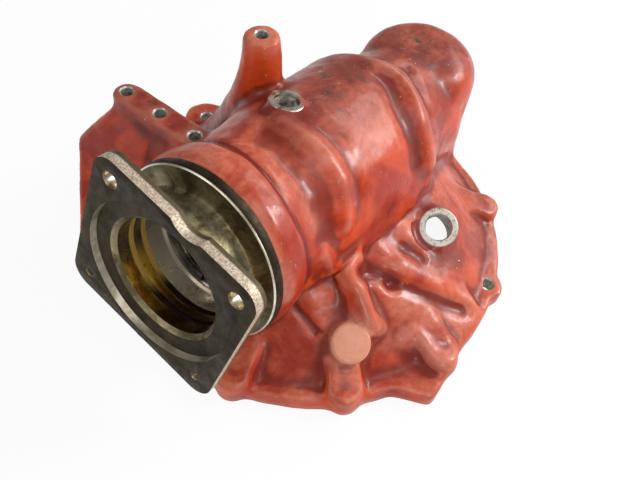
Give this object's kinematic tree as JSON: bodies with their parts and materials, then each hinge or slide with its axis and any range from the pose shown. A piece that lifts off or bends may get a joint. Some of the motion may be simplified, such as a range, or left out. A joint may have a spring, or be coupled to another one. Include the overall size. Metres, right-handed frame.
{
  "type": "final drive housing",
  "caption": "Cast bevel final-drive housing of a steered driving axle: bell with cover flange, sloped tunnel with domed end, square-flanged steel trunnion sleeve, bracket, post, gears inside.",
  "frame": {"origin": "centre of the circle of cover bolts, on the cover flange's joint face, on the wheel axis", "axes": "+Z along the wheel axis, away from the cover (inboard); +X from the trunnion towards the domed end of the tunnel; +Y completes the right-handed frame, towards the bracket and post"},
  "size_m": [0.3593, 0.3239, 0.175],
  "materials": {
    "red_casting": "worn gloss",
    "turned_steel": "turned, oily",
    "plug_steel": "machined",
    "gear_steel": "ground, oily",
    "bearing_steel": "ground",
    "cage_brass": "machined",
    "spring_steel": "blackened",
    "plated_bolt": "plated"
  },
  "bodies": {
    "housing": {"drive_case": "red_casting", "trunnion_sleeve": "turned_steel", "filler_plug": "plug_steel", "near_bearing_outer_race": "bearing_steel", "far_bearing_outer_race": "bearing_steel", "hub_bearing_outer_race": "bearing_steel", "near_seat_circlip": "spring_steel", "hub_seat_circlip": "spring_steel"},
    "wheel_gear": {"crown_gear": "gear_steel", "gear_hub": "gear_steel", "gear_bolts": "plated_bolt", "hub_bearing_inner_race": "bearing_steel", "hub_journal_circlip": "spring_steel"},
    "pinion": {"pinion_shaft": "gear_steel", "spacer_sleeve": "turned_steel", "pinion_shim": "turned_steel", "near_bearing_inner_race": "bearing_steel", "far_bearing_inner_race": "bearing_steel", "near_shaft_circlip": "spring_steel", "far_shaft_circlip": "spring_steel"},
    "near_cage": {"near_bearing_cage": "cage_brass", "near_bearing_balls": "bearing_steel"},
    "far_cage": {"far_bearing_cage": "cage_brass", "far_bearing_balls": "bearing_steel"},
    "hub_cage": {"hub_bearing_cage": "cage_brass", "hub_bearing_balls": "bearing_steel"}
  },
  "joints": [
    {"name": "wheel_gear_spin", "type": "hinge", "parent": "housing", "child": "wheel_gear", "pos_m": [0, 0, 0.0294], "axis": [0, 0, 1], "continuous": true},
    {"name": "pinion_spin", "type": "hinge", "parent": "housing", "child": "pinion", "pos_m": [0, 0, 0.077], "axis": [0.9848, 0, -0.1736], "continuous": true},
    {"name": "near_cage_spin", "type": "hinge", "parent": "housing", "child": "near_cage", "pos_m": [0, 0, 0.077], "axis": [0.9848, 0, -0.1736], "continuous": true},
    {"name": "far_cage_spin", "type": "hinge", "parent": "housing", "child": "far_cage", "pos_m": [0, 0, 0.077], "axis": [0.9848, 0, -0.1736], "continuous": true},
    {"name": "hub_cage_spin", "type": "hinge", "parent": "housing", "child": "hub_cage", "pos_m": [0, 0, 0.0294], "axis": [0, 0, 1], "continuous": true}
  ],
  "couplings": [
    {"joint": "pinion_spin", "follows": "wheel_gear_spin", "ratio": 3.4167},
    {"joint": "near_cage_spin", "follows": "wheel_gear_spin", "ratio": 1.3539},
    {"joint": "far_cage_spin", "follows": "wheel_gear_spin", "ratio": 1.3539},
    {"joint": "hub_cage_spin", "follows": "wheel_gear_spin", "ratio": 0.42222}
  ]
}
